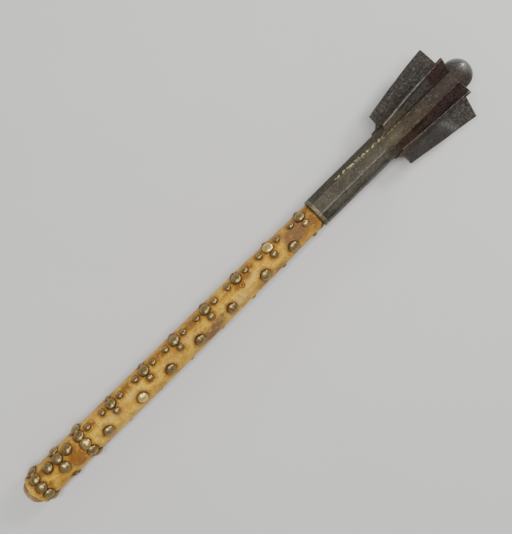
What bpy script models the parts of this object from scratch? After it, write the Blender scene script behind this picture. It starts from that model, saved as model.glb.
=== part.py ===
"""A six-flanged ceremonial mace: an iron head with an octagonal socket, a wooden haft and a cover
of raw hide held by domed brass tacks. It lies on its two lower flanges and a tack of its butt.

Everything is first built along the mace's own axis: X runs from the butt to the tip, and an angle
is turned from straight up towards +Y. An empty then carries every piece into the lying pose.
Units are metres.
"""

import math

import bmesh
import bpy
from mathutils import Matrix, Vector

# Fits
GAP = 0.0003
RING_SIDES = 32

# Haft: thickest near the butt, it tapers to a shoulder and then narrows to the socket's mouth
HAFT_BUTT_RADIUS = 0.0151
HAFT_SHOULDER_RADIUS = 0.0134
HAFT_NECK_RADIUS = 0.0118
HAFT_SHOULDER_TO_MOUTH = 0.083
BUTT_FLAT_RADIUS = 0.0045
BUTT_ROUNDING_LENGTH = 0.016
BUTT_ROUNDING_STEPS = 4
TENON_LENGTH = 0.180

# Hide cover
HIDE_THICKNESS = 0.0015
HIDE_START_X = 0.0115

# Iron head: an octagonal socket, a round core and a domed tip
MOUTH_X = 0.4032
MOUTH_CHAMFER = 0.0006
SOCKET_WALL = 0.0033
SOCKET_LENGTH = 0.091
SOCKET_SIDES = 8
SOCKET_CORNER_ANGLE = math.radians(-14.5)
SOCKET_TO_CORE_LENGTH = 0.005
CORE_RADIUS = 0.0161
CORE_PAST_FLANGES = 0.0065
DOME_STEPS = 5

# Flanges: flat plates, all cut from one pattern and then finished by hand
FLANGE_COUNT = 6
FIRST_FLANGE_ANGLE = math.radians(30)
FLANGE_THICKNESS = 0.0028
FLANGE_LENGTH = 0.0833
FLANGE_REAR_RADIUS = 0.0316
FLANGE_FRONT_RADIUS = 0.0439
FLANGE_FRONT_SLANT = 0.0048
FLANGE_TOE_LENGTH = 0.0089
FLANGE_TOE_HEIGHT = 0.0010
FLANGE_SCOOP_HEIGHT = 0.0075
FLANGE_SCOOP_STEPS = 6
# How far the rear and front corners of each flange stand forward of the pattern
FLANGE_REAR_SHIFTS = (0.0009, 0.0021, 0.0, 0.0, -0.0009, -0.0021)
FLANGE_FRONT_SHIFTS = (0.0017, 0.0028, 0.0, 0.0, -0.0037, -0.0007)

# Tacks: a dome whose base plane is sunk a little below the crest of the hide
BIG_TACK_RADIUS = 0.0059
BIG_TACK_HEIGHT = 0.0037
BIG_TACK_SIDES = 10
SMALL_TACK_RADIUS = 0.0038
SMALL_TACK_HEIGHT = 0.0026
SMALL_TACK_SIDES = 8
TACK_SINK = 0.0004
TACK_PLUG_DEPTH = 0.0026
RIM_OVERLAP = 0.0005
TACK_SPACING = 0.0025

# Tack pattern: two rings near the butt with a cross between them, then rosettes and single tacks
BUTT_RING_INSET = 0.009
RING_SPACING = 0.061
RING_FIRST_ANGLE = math.radians(-7)
CROSS_ANGLES = {"front": math.radians(26), "back": math.radians(207)}
CROSS_ARM_SPACING = 0.0013
SIDE_TACK_ANGLE = math.radians(-75)
FIRST_ROSETTE_OFFSET = 0.045
ROSETTE_PITCH = 0.0438
FRONT_ROW_FIRST_ANGLE = math.radians(32.5)
FRONT_ROW_DRIFT = math.radians(1.5)
BACK_ROW_ANGLE = math.radians(-140)
SINGLE_ROW_ANGLES = {"front": math.radians(-34), "back": math.radians(150)}
LOST_TACK_ROSETTE = 5
# How far each rosette and each single tack of the front was set past its even place
ROSETTE_SHIFTS = (0.0, 0.0023, 0.0008, 0.0003, 0.0, 0.0, 0.0)
SINGLE_SHIFTS = (0.0019, 0.0051, 0.0009, -0.0018, -0.0009, 0.0016, -0.0023)

# Worn flats on whatever the mace lies on
REST_FLAT_DEPTH = 0.0007

# Stations that follow from the sizes above
SOCKET_END_X = MOUTH_X + SOCKET_LENGTH
CORE_START_X = SOCKET_END_X + SOCKET_TO_CORE_LENGTH
FLANGE_TOE_X = CORE_START_X + GAP
FLANGE_REAR_X = FLANGE_TOE_X + FLANGE_TOE_LENGTH
FLANGE_FRONT_X = FLANGE_REAR_X + FLANGE_LENGTH
FLANGE_ROOT_END_X = FLANGE_FRONT_X + FLANGE_FRONT_SLANT
DOME_START_X = FLANGE_ROOT_END_X + CORE_PAST_FLANGES
TIP_X = DOME_START_X + CORE_RADIUS
TENON_END_X = MOUTH_X + TENON_LENGTH
HAFT_SHOULDER_X = MOUTH_X - HAFT_SHOULDER_TO_MOUTH
BORE_RADIUS = HAFT_NECK_RADIUS + GAP
BUTT_RING_X = HIDE_START_X + BUTT_RING_INSET
GRIP_RING_X = BUTT_RING_X + RING_SPACING
CROSS_X = (BUTT_RING_X + GRIP_RING_X) / 2
FIRST_ROSETTE_X = GRIP_RING_X + FIRST_ROSETTE_OFFSET
SMALL_TACK_ARM = BIG_TACK_RADIUS + TACK_SPACING + SMALL_TACK_RADIUS


def remove_startup_objects():
    for thing in list(bpy.data.objects):
        bpy.data.objects.remove(thing)


def plain_material(name, colour, roughness, metallic):
    made = bpy.data.materials.new(name)
    made.use_nodes = True
    shader = made.node_tree.nodes["Principled BSDF"]
    shader.inputs["Base Color"].default_value = (*colour, 1.0)
    shader.inputs["Roughness"].default_value = roughness
    shader.inputs["Metallic"].default_value = metallic
    return made


def around(x, radius, angle):
    """The point at this station, radius and angle round the mace's axis."""
    return Vector((x, radius * math.sin(angle), radius * math.cos(angle)))


def round_ring(x, radius, first_angle=0.0):
    step = 2 * math.pi / RING_SIDES
    return [around(x, radius, first_angle + step * k) for k in range(RING_SIDES)]


def octagon_ring(x, flat_radius):
    """A ring on the flats of the socket's octagon, which starts at one of its corners."""
    flat = 2 * math.pi / SOCKET_SIDES
    points = []
    for k in range(RING_SIDES):
        turned = k * 2 * math.pi / RING_SIDES
        past_middle = turned % flat - flat / 2
        radius = flat_radius / math.cos(past_middle)
        points.append(around(x, radius, SOCKET_CORNER_ANGLE + turned))
    return points


def skin(bm, rings, first_pole=None, last_pole=None, loop=False):
    """Faces from ring to ring, closed by a fan to each pole or by joining the last to the first."""
    rows = [[bm.verts.new(p) for p in ring] for ring in rings]
    pairs = list(zip(rows, rows[1:]))
    if loop:
        pairs.append((rows[-1], rows[0]))
    for low, high in pairs:
        for k in range(len(low)):
            after = (k + 1) % len(low)
            bm.faces.new((low[k], low[after], high[after], high[k]))
    for pole, row in ((first_pole, rows[0]), (last_pole, rows[-1])):
        if pole is not None:
            tip = bm.verts.new(pole)
            for k in range(len(row)):
                bm.faces.new((tip, row[k], row[(k + 1) % len(row)]))


def finish_piece(name, bm, material):
    bmesh.ops.recalc_face_normals(bm, faces=bm.faces)
    mesh = bpy.data.meshes.new(name)
    bm.to_mesh(mesh)
    bm.free()
    mesh.shade_smooth()
    mesh.set_sharp_from_angle(angle=math.radians(35))
    if material is not None:
        mesh.materials.append(material)
    piece = bpy.data.objects.new(name, mesh)
    bpy.context.scene.collection.objects.link(piece)
    return piece


def make_cutter(name, bm):
    cutter = finish_piece(name, bm, None)
    cutter.hide_render = True
    cutter.display_type = "WIRE"
    return cutter


def cut_away(piece, cutter, label, joins_itself=False):
    cut = piece.modifiers.new(label, "BOOLEAN")
    cut.operation = "DIFFERENCE"
    cut.solver = "EXACT"
    cut.use_self = joins_itself
    cut.object = cutter


def haft_radius(x):
    """The wood's radius at a station from the butt's end face."""
    if x < BUTT_ROUNDING_LENGTH:
        short_of_full = 1 - max(x, 0.0) / BUTT_ROUNDING_LENGTH
        rise = HAFT_BUTT_RADIUS - BUTT_FLAT_RADIUS
        return BUTT_FLAT_RADIUS + rise * math.sqrt(1 - short_of_full**2)
    if x < HAFT_SHOULDER_X:
        share = (x - BUTT_ROUNDING_LENGTH) / (HAFT_SHOULDER_X - BUTT_ROUNDING_LENGTH)
        return HAFT_BUTT_RADIUS + (HAFT_SHOULDER_RADIUS - HAFT_BUTT_RADIUS) * share
    if x < MOUTH_X:
        share = (x - HAFT_SHOULDER_X) / (MOUTH_X - HAFT_SHOULDER_X)
        return HAFT_SHOULDER_RADIUS + (HAFT_NECK_RADIUS - HAFT_SHOULDER_RADIUS) * share
    return HAFT_NECK_RADIUS


def hide_radius(x):
    return haft_radius(x) + GAP + HIDE_THICKNESS


def covered_stations():
    """The stations where the hide's profile turns, from its start to the socket's mouth."""
    stations = [HIDE_START_X]
    if HIDE_START_X < BUTT_ROUNDING_LENGTH:
        stations += [(HIDE_START_X + BUTT_ROUNDING_LENGTH) / 2, BUTT_ROUNDING_LENGTH]
    return [*stations, HAFT_SHOULDER_X, MOUTH_X - GAP]


def make_haft(material):
    bare_end = [
        HIDE_START_X * (1 - math.cos(math.pi / 2 * k / BUTT_ROUNDING_STEPS))
        for k in range(BUTT_ROUNDING_STEPS)
    ]
    tenon_end = TENON_END_X - GAP
    rings = [
        round_ring(x, haft_radius(x)) for x in (*bare_end, *covered_stations(), tenon_end)
    ]
    bm = bmesh.new()
    skin(bm, rings, first_pole=(0, 0, 0), last_pole=(tenon_end, 0, 0))
    return finish_piece("haft", bm, material)


def make_hide_cover(material):
    stations = covered_stations()
    outside = [round_ring(x, hide_radius(x)) for x in stations]
    inside = [round_ring(x, haft_radius(x) + GAP) for x in reversed(stations)]
    bm = bmesh.new()
    skin(bm, outside + inside, loop=True)
    return finish_piece("hide_cover", bm, material)


def make_head(material):
    """Socket, core and domed tip, from the bottom of the bore round the mouth to the tip."""
    flat_radius = BORE_RADIUS + SOCKET_WALL
    rings = [
        round_ring(TENON_END_X, BORE_RADIUS, SOCKET_CORNER_ANGLE),
        round_ring(MOUTH_X, BORE_RADIUS, SOCKET_CORNER_ANGLE),
        octagon_ring(MOUTH_X, flat_radius - MOUTH_CHAMFER),
        octagon_ring(MOUTH_X + MOUTH_CHAMFER, flat_radius),
        octagon_ring(SOCKET_END_X, flat_radius),
        round_ring(CORE_START_X, CORE_RADIUS, SOCKET_CORNER_ANGLE),
    ]
    for k in range(DOME_STEPS):
        turn = math.pi / 2 * k / DOME_STEPS
        x = DOME_START_X + CORE_RADIUS * math.sin(turn)
        rings.append(round_ring(x, CORE_RADIUS * math.cos(turn), SOCKET_CORNER_ANGLE))
    bm = bmesh.new()
    skin(bm, rings, first_pole=(TENON_END_X, 0, 0), last_pole=(TIP_X, 0, 0))
    return finish_piece("mace_head", bm, material)


def flange_outline(rear_shift, front_shift):
    """(station, radius) points of one flange, from the front of its root round to its toe."""
    root = CORE_RADIUS + GAP
    rear_x = FLANGE_REAR_X + rear_shift
    outline = [
        (FLANGE_ROOT_END_X, root),
        (FLANGE_FRONT_X + front_shift, FLANGE_FRONT_RADIUS),
        (rear_x, FLANGE_REAR_RADIUS),
    ]
    scoop_depth = FLANGE_SCOOP_HEIGHT - FLANGE_TOE_HEIGHT
    for k in range(FLANGE_SCOOP_STEPS + 1):
        turn = math.pi / 2 * k / FLANGE_SCOOP_STEPS
        x = rear_x - (rear_x - FLANGE_TOE_X) * (1 - math.cos(turn))
        outline.append((x, root + FLANGE_SCOOP_HEIGHT - scoop_depth * math.sin(turn)))
    outline.append((FLANGE_TOE_X, root))
    return outline


def make_flange(index, material):
    """A plate cut to its outline, standing on the core at its own angle."""
    angle = FIRST_FLANGE_ANGLE + index * 2 * math.pi / FLANGE_COUNT
    rear_shift = FLANGE_REAR_SHIFTS[index % len(FLANGE_REAR_SHIFTS)]
    front_shift = FLANGE_FRONT_SHIFTS[index % len(FLANGE_FRONT_SHIFTS)]
    turn = Matrix.Rotation(-angle, 4, "X")
    bm = bmesh.new()
    sides = []
    for y in (-FLANGE_THICKNESS / 2, FLANGE_THICKNESS / 2):
        corners = [Vector((x, y, radius)) for x, radius in flange_outline(rear_shift, front_shift)]
        sides.append([bm.verts.new(turn @ corner) for corner in corners])
    bm.faces.new(sides[0])
    bm.faces.new(reversed(sides[1]))
    for k in range(len(sides[0])):
        after = (k + 1) % len(sides[0])
        bm.faces.new((sides[0][k], sides[1][k], sides[1][after], sides[0][after]))
    return finish_piece(f"flange_{index + 1}", bm, material)


def add_tack(bm, x, angle, radius, height, sides, dome_steps):
    """One dome with a plug below its rim, which the seat cutter later trims to the hide."""
    up = around(0, 1, angle)
    along = Vector((1, 0, 0))
    side = along.cross(up)
    base = around(x, hide_radius(x) - TACK_SINK, angle)

    def tack_ring(ring_radius, level):
        points = []
        for k in range(sides):
            turn = 2 * math.pi * k / sides
            outward = along * math.sin(turn) + side * math.cos(turn)
            points.append(base + outward * ring_radius + up * level)
        return points

    rings = [tack_ring(radius, -TACK_PLUG_DEPTH)]
    for k in range(dome_steps):
        turn = math.pi / 2 * k / dome_steps
        rings.append(tack_ring(radius * math.cos(turn), height * math.sin(turn)))
    skin(bm, rings, first_pole=base - up * TACK_PLUG_DEPTH, last_pole=base + up * height)


def make_tacks(name, big, small, cutter, material):
    """Tacks that touch each other, as one solid seated on the hide. Each is (station, angle)."""
    bm = bmesh.new()
    for x, angle in big:
        add_tack(bm, x, angle, BIG_TACK_RADIUS, BIG_TACK_HEIGHT, BIG_TACK_SIDES, 3)
    for x, angle in small:
        add_tack(bm, x, angle, SMALL_TACK_RADIUS, SMALL_TACK_HEIGHT, SMALL_TACK_SIDES, 2)
    piece = finish_piece(name, bm, material)
    cut_away(piece, cutter, "seat on the hide", joins_itself=len(big) + len(small) > 1)
    return piece


def make_seat_cutter():
    """The body that the hide and its clearance fill, which every tack is trimmed against."""
    stations = covered_stations()
    rings = [round_ring(x, hide_radius(x) + GAP) for x in stations]
    bm = bmesh.new()
    skin(bm, rings, first_pole=(stations[0], 0, 0), last_pole=(stations[-1], 0, 0))
    return make_cutter("tack_seat_cutter", bm)


def touching_angle(x, first_radius, second_radius):
    """How far round the haft two tacks stand apart when their rims just overlap."""
    return (first_radius + second_radius - RIM_OVERLAP) / (hide_radius(x) - TACK_SINK)


def make_tack_rings(cutter, material):
    rings = []
    for name, x in (("tack_ring_butt", BUTT_RING_X), ("tack_ring_grip", GRIP_RING_X)):
        count = math.ceil(2 * math.pi / touching_angle(x, BIG_TACK_RADIUS, BIG_TACK_RADIUS))
        places = [(x, RING_FIRST_ANGLE + 2 * math.pi * k / count) for k in range(count)]
        rings.append(make_tacks(name, places, [], cutter, material))
    return rings


def make_crosses(cutter, material):
    """Between the rings: three touching tacks across the haft, with one each side along it."""
    side_angle = touching_angle(CROSS_X, BIG_TACK_RADIUS, BIG_TACK_RADIUS)
    arm = 2 * BIG_TACK_RADIUS + CROSS_ARM_SPACING
    pieces = []
    for where, angle in CROSS_ANGLES.items():
        trio = [(CROSS_X, angle + k * side_angle) for k in (-1, 0, 1)]
        pieces.append(make_tacks(f"cross_tacks_{where}", trio, [], cutter, material))
    front = CROSS_ANGLES["front"]
    for name, x in (("cross_arm_butt", CROSS_X - arm), ("cross_arm_grip", CROSS_X + arm)):
        pieces.append(make_tacks(name, [(x, front)], [], cutter, material))
    side_place = (CROSS_X, SIDE_TACK_ANGLE)
    pieces.append(make_tacks("cross_side_tack", [], [side_place], cutter, material))
    return pieces


def shifted(places, shifts):
    return [x + shifts[k % len(shifts)] for k, x in enumerate(places)]


def rosette_stations():
    """Even places for the rosettes, as many as fit before the socket's mouth."""
    room = MOUTH_X - GAP - BIG_TACK_RADIUS - FIRST_ROSETTE_X
    return [FIRST_ROSETTE_X + ROSETTE_PITCH * k for k in range(int(room / ROSETTE_PITCH) + 1)]


def front_row_angle(x):
    return FRONT_ROW_FIRST_ANGLE + FRONT_ROW_DRIFT * (x - FIRST_ROSETTE_X) / ROSETTE_PITCH


def make_rosettes(cutter, material):
    """Big tacks with a small one touching on each side. One in front has lost its upper one."""
    even = rosette_stations()
    pieces = []
    for k, x in enumerate(shifted(even, ROSETTE_SHIFTS)):
        angle = front_row_angle(x)
        side_angle = touching_angle(x, BIG_TACK_RADIUS, SMALL_TACK_RADIUS)
        small = [(x, angle + side_angle)]
        if k + 1 != LOST_TACK_ROSETTE:
            small.append((x, angle - side_angle))
        pieces.append(make_tacks(f"rosette_front_{k + 1}", [(x, angle)], small, cutter, material))
    for k, x in enumerate(even):
        side_angle = touching_angle(x, BIG_TACK_RADIUS, SMALL_TACK_RADIUS)
        small = [(x, BACK_ROW_ANGLE - side_angle), (x, BACK_ROW_ANGLE + side_angle)]
        name = f"rosette_back_{k + 1}"
        pieces.append(make_tacks(name, [(x, BACK_ROW_ANGLE)], small, cutter, material))
    return pieces


def make_single_tacks(cutter, material):
    """The big tacks that stand alone, halfway between the rosettes."""
    even = [x - ROSETTE_PITCH / 2 for x in rosette_stations()]
    rows = {"front": shifted(even, SINGLE_SHIFTS), "back": even}
    pieces = []
    for where, stations in rows.items():
        for k, x in enumerate(stations):
            place = (x, SINGLE_ROW_ANGLES[where])
            pieces.append(make_tacks(f"single_{where}_{k + 1}", [place], [], cutter, material))
    return pieces


def make_small_tacks(cutter, material):
    """The small tacks along the front row, before and after each rosette, clear of the mouth."""
    stations = [GRIP_RING_X + SMALL_TACK_ARM]
    for x in shifted(rosette_stations(), ROSETTE_SHIFTS):
        stations += [x - SMALL_TACK_ARM, x + SMALL_TACK_ARM]
    last_x = MOUTH_X - GAP - BIG_TACK_RADIUS
    places = [(x, front_row_angle(x)) for x in stations if x < last_x]
    return [
        make_tacks(f"small_front_{n + 1}", [], [place], cutter, material)
        for n, place in enumerate(places)
    ]


def points_of(piece):
    """The corners of a piece as it stands, with its cuts made."""
    shape = piece.evaluated_get(bpy.context.evaluated_depsgraph_get())
    return [shape.matrix_world @ v.co for v in shape.data.vertices]


def resting_pitch(points):
    """The turn about Y that brings the head's lowest corner and the butt's to one level."""
    pitch = 0.0
    for _ in range(8):
        levels = [(p.x * math.sin(pitch) + p.z * math.cos(pitch), p.x, p.z) for p in points]
        _, butt_x, butt_z = min(level for level in levels if level[1] < MOUTH_X)
        _, head_x, head_z = min(level for level in levels if level[1] > MOUTH_X)
        pitch = math.atan2(butt_z - head_z, head_x - butt_x)
    return pitch


def lay_down(pieces):
    """Pose the mace on its lowest corners, worn to flats at Z = 0, with X centred on it."""
    points = {piece.name: points_of(piece) for piece in pieces}
    turn = Matrix.Rotation(-resting_pitch(sum(points.values(), [])), 4, "Y")
    placed = {name: [turn @ p for p in corners] for name, corners in points.items()}
    every = sum(placed.values(), [])
    floor = min(p.z for p in every) + REST_FLAT_DEPTH
    middle_x = (min(p.x for p in every) + max(p.x for p in every)) / 2
    middle_y = (min(p.y for p in every) + max(p.y for p in every)) / 2

    bm = bmesh.new()
    bmesh.ops.create_cube(bm, size=1.0)
    size = Vector((1.2 * TIP_X, 4 * FLANGE_FRONT_RADIUS, 0.02))
    block = Matrix.Translation((middle_x, middle_y, floor - size.z / 2)) @ Matrix.Diagonal((*size, 1))
    bm.transform(turn.inverted() @ block)
    cutter = make_cutter("rest_flat_cutter", bm)
    for piece in pieces:
        if min(p.z for p in placed[piece.name]) < floor:
            cut_away(piece, cutter, "worn flat")

    pose = Matrix.Translation((-middle_x, -middle_y, -floor)) @ turn
    return cutter, pose


def main():
    remove_startup_objects()
    iron = plain_material("forged_iron", (0.070, 0.063, 0.053), 0.48, 0.85)
    wood = plain_material("haft_wood", (0.36, 0.27, 0.14), 0.65, 0.0)
    hide = plain_material("raw_hide", (0.50, 0.32, 0.10), 0.60, 0.0)
    brass = plain_material("old_brass", (0.23, 0.19, 0.11), 0.36, 0.9)

    haft = make_haft(wood)
    cover = make_hide_cover(hide)
    head = make_head(iron)
    flanges = [make_flange(index, iron) for index in range(FLANGE_COUNT)]
    seat_cutter = make_seat_cutter()
    tacks = make_tack_rings(seat_cutter, brass)
    tacks += make_crosses(seat_cutter, brass)
    tacks += make_rosettes(seat_cutter, brass)
    tacks += make_single_tacks(seat_cutter, brass)
    tacks += make_small_tacks(seat_cutter, brass)

    pieces = [haft, cover, head, *flanges, *tacks]
    bpy.context.view_layer.update()
    rest_cutter, pose = lay_down(pieces)
    axis = bpy.data.objects.new("mace_axis", None)
    bpy.context.scene.collection.objects.link(axis)
    for piece in [*pieces, seat_cutter, rest_cutter]:
        piece.parent = axis
    axis.matrix_world = pose


main()
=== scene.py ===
import math

import bmesh
import bpy
import numpy as np
from mathutils import Matrix, Vector, noise


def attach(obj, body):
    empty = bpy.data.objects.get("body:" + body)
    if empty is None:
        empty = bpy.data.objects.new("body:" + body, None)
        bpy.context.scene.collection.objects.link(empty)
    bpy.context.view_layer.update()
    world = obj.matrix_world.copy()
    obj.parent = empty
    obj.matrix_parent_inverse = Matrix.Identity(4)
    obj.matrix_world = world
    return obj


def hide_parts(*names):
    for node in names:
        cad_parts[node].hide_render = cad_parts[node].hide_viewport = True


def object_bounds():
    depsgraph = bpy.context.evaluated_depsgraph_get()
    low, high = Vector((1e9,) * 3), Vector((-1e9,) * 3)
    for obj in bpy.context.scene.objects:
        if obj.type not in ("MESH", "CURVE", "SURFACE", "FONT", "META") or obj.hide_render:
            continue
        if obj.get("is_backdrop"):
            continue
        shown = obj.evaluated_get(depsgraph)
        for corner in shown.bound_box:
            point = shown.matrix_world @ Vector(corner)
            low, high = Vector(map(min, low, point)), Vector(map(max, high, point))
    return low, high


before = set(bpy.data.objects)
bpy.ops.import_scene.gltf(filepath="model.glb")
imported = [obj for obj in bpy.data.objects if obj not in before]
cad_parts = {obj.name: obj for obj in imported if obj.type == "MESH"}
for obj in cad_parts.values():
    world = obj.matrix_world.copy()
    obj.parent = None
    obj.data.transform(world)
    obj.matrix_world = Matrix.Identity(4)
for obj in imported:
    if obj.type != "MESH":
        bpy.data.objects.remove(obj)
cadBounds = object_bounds()
print("stage: frame loaded")

# Everything is built along the mace's own axis, x from butt to tip and angles from straight up
# towards +Y. It is then laid on its two lower flanges and its butt. Lengths are in metres.
lying = {"buttX": -0.30931, "buttZ": 0.01864, "pitch": 1.8745}
layDown = Matrix.Translation((lying["buttX"], 0.0, lying["buttZ"])) @ Matrix.Rotation(
    -math.radians(lying["pitch"]), 4, "Y"
)
layMatrix = np.array(layDown)


def wrapped(angle):
    return (angle + math.pi) % (2 * math.pi) - math.pi


def awayFrom(angle, degrees):
    return wrapped(angle - math.radians(degrees))


def rise(value, start=0.0, width=1.0):  # eases from 0 at the start to 1 a width further on
    share = np.clip((value - start) / width, 0.0, 1.0)
    return share * share * (3 - 2 * share)


def hill(value, width):  # 1 at nought, and down to nothing on both sides
    return np.exp(-((value / width) ** 2))


def most(first, *others):
    for other in others:
        first = np.maximum(first, other)
    return first


def aroundPoint(x, radius, angle):
    return Vector((x, radius * math.sin(angle), radius * math.cos(angle)))


def ringPoints(x, radius, angle):
    x, radius, angle = np.broadcast_arrays(x, radius, angle)
    return np.stack([x, radius * np.sin(angle), radius * np.cos(angle)], axis=-1)


def noiseOn(points, scale, seed, stretch=1.0):  # a stretch under 1 draws it out along the mace
    flat = points.reshape(-1, 3) * (scale * stretch, scale, scale) + (seed, -1.7 * seed, 0.6 * seed)
    values = np.array([noise.noise(Vector(point)) for point in flat])
    return values.reshape(points.shape[:-1])


def relief(points, rows, seed=0.0):  # rows of height, scale, seed and stretch
    return sum(
        height * noiseOn(points, scale, seed + rowSeed, stretch)
        for height, scale, rowSeed, stretch in rows
    )


def laidPoints(points):
    laid = points @ layMatrix[:3, :3].T + layMatrix[:3, 3]
    laid[..., 2] = np.maximum(laid[..., 2], 0.0)  # worn flat where it lies
    return laid


def addObject(name, data):
    made = bpy.data.objects.new(name, data)
    bpy.context.scene.collection.objects.link(made)
    return made


def takeMesh(holder, name):
    # the plain mesh that an object's modifiers make; the object itself goes
    graph = bpy.context.evaluated_depsgraph_get()
    mesh = bpy.data.meshes.new_from_object(holder.evaluated_get(graph))
    source = holder.data
    bpy.data.objects.remove(holder)
    bpy.data.meshes.remove(source)
    mesh.name = name
    return mesh


def readRows(mesh, what="co"):
    flat = np.empty(len(mesh.vertices) * 3)
    mesh.vertices.foreach_get(what, flat)
    return flat.reshape(-1, 3)


def movePoints(mesh, rows):
    mesh.vertices.foreach_set("co", rows.ravel())
    mesh.update()


def turnedMesh(name, rings, firstPole=None, lastPole=None, loop=False):
    # rings is an array of closed rings of points, in order from the inside round to the outside
    rows, turns, _ = rings.shape
    points = [tuple(point) for point in laidPoints(rings).reshape(-1, 3)]
    pairs = list(zip(range(rows), range(1, rows)))
    if loop:
        pairs.append((rows - 1, 0))
    faces = []
    for low, high in pairs:
        for k in range(turns):
            after = (k + 1) % turns
            near, far = low * turns, high * turns
            faces.append((near + k, far + k, far + after, near + after))
    for pole, row, outward in ((firstPole, 0, False), (lastPole, rows - 1, True)):
        if pole is not None:
            points.append(tuple(layDown @ Vector(pole)))
            for k in range(turns):
                first, second = row * turns + k, row * turns + (k + 1) % turns
                if outward:
                    first, second = second, first
                faces.append((len(points) - 1, first, second))
    mesh = bpy.data.meshes.new(name)
    mesh.from_pydata(points, [], faces)
    mesh.shade_smooth()
    return mesh


def keepPiece(mesh, name, material, nodes, marks=None):
    for label, values in (marks or {}).items():
        layer = mesh.attributes.new(label, "FLOAT", "POINT")
        layer.data.foreach_set("value", np.asarray(values, dtype=np.float32).ravel())
    mesh.materials.clear()
    mesh.materials.append(material)
    piece = addObject(name, mesh)
    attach(piece, "root")
    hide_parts(*nodes)
    print(f"stage: {name}, {sum(len(face.vertices) - 2 for face in mesh.polygons)} triangles")


# Nodes: a value is either a plain one or the socket that feeds it.
def addNode(tree, kind, values=None, **options):
    made = tree.nodes.new(kind)
    for name, value in options.items():
        setattr(made, name, value)
    for name, value in (values or {}).items():
        if isinstance(value, bpy.types.NodeSocket):
            tree.links.new(value, made.inputs[name])
        else:
            made.inputs[name].default_value = value
    return made


def addMath(tree, operation, first, second, clamp=False):
    values = {0: first, 1: second}
    return addNode(tree, "ShaderNodeMath", values, operation=operation, use_clamp=clamp).outputs[0]


def addTimes(tree, first, second, clamp=False):
    return addMath(tree, "MULTIPLY", first, second, clamp)


def addShares(tree, first, *rows):  # adds each mask times its share
    for mask, share in rows:
        first = addMath(tree, "ADD", first, addTimes(tree, mask, share))
    return first


def addMap(tree, value, low, high, newLow=0.0, newHigh=1.0):
    labels = ("Value", "From Min", "From Max", "To Min", "To Max")
    values = dict(zip(labels, (value, low, high, newLow, newHigh)))
    return addNode(tree, "ShaderNodeMapRange", values).outputs[0]


def addBlend(tree, factor, low, high):
    low = (*low, 1.0) if isinstance(low, tuple) else low
    high = (*high, 1.0) if isinstance(high, tuple) else high
    return addNode(tree, "ShaderNodeMix", {0: factor, 6: low, 7: high}, data_type="RGBA").outputs[2]


def addTint(tree, colour, mask, share, tint):  # a tint over a colour, at most at its share
    return addBlend(tree, addTimes(tree, mask, share), colour, tint)


def addMark(tree, name):
    return addNode(tree, "ShaderNodeAttribute", attribute_name=name).outputs["Fac"]


def addReach(tree, place, middle):
    values = {0: place, 1: tuple(middle)}
    return addNode(tree, "ShaderNodeVectorMath", values, operation="DISTANCE").outputs["Value"]


def shaderGroup(name, inputs, outputs):
    # an input is a vector where its value is None, else a number or a colour
    kinds = {type(None): "NodeSocketVector", float: "NodeSocketFloat", tuple: "NodeSocketColor"}
    tree = bpy.data.node_groups.new(name, "ShaderNodeTree")
    for label, value in inputs.items():
        kind = kinds[type(value)]
        socket = tree.interface.new_socket(label, in_out="INPUT", socket_type=kind)
        if value is not None:
            socket.default_value = value
    for label, kind in outputs.items():
        tree.interface.new_socket(label, in_out="OUTPUT", socket_type=kind)
    return tree, addNode(tree, "NodeGroupInput").outputs, addNode(tree, "NodeGroupOutput")


def patchesGroup():
    # soft-edged patches of noise: a mask from 0 to 1
    inputs = {"Vector": None, "Scale": 50.0, "Low": 0.4, "High": 0.6, "Roughness": 0.6}
    tree, ask, result = shaderGroup("patches", inputs, {"Mask": "NodeSocketFloat"})
    values = {"Detail": 6.0, **{label: ask[label] for label in ("Vector", "Scale", "Roughness")}}
    field = addNode(tree, "ShaderNodeTexNoise", values).outputs[0]
    values = {"Value": field, "From Min": ask["Low"], "From Max": ask["High"]}
    mask = addNode(tree, "ShaderNodeMapRange", values, interpolation_type="SMOOTHSTEP")
    tree.links.new(mask.outputs[0], result.inputs["Mask"])
    return tree


patches = patchesGroup()


def addPatches(tree, vector, scale, low, high, rough=0.6):
    values = {"Vector": vector, "Scale": scale, "Low": low, "High": high, "Roughness": rough}
    return addNode(tree, "ShaderNodeGroup", values, node_tree=patches).outputs["Mask"]


def newMaterial(name):
    material = bpy.data.materials.new(name)
    material.use_nodes = True
    tree = material.node_tree
    place = addNode(tree, "ShaderNodeTexCoord").outputs["Object"]
    return material, tree, tree.nodes["Principled BSDF"], place


def dressShader(tree, shader, colour, rough, height, bump):  # bump is its depth and strength
    normal = addNode(
        tree, "ShaderNodeBump", {"Height": height, "Distance": bump[0], "Strength": bump[1]}
    ).outputs["Normal"]
    for socket, value in (("Base Color", colour), ("Roughness", rough), ("Normal", normal)):
        if isinstance(value, float):
            shader.inputs[socket].default_value = value
        else:
            tree.links.new(value, shader.inputs[socket])


haftSizes = {
    "buttRadius": 0.0151,
    "shoulderRadius": 0.0134,
    "neckRadius": 0.0118,
    "buttFlat": 0.0045,
    "rounding": 0.016,
    "shoulder": 0.3202,
    "mouth": 0.4032,
    "end": 0.5829,
    "coverStand": 0.0018,
}


def haftRadius(x):
    sizes = haftSizes
    places = [sizes["rounding"], sizes["shoulder"], sizes["mouth"]]
    radii = [sizes["buttRadius"], sizes["shoulderRadius"], sizes["neckRadius"]]
    short = 1 - np.clip(x, 0.0, sizes["rounding"]) / sizes["rounding"]
    height = sizes["buttRadius"] - sizes["buttFlat"]
    rounded = sizes["buttFlat"] + height * np.sqrt(1 - short**2)
    return np.where(x < sizes["rounding"], rounded, np.interp(x, places, radii))


def coverRadius(x):
    return haftRadius(x) + haftSizes["coverStand"]


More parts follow.
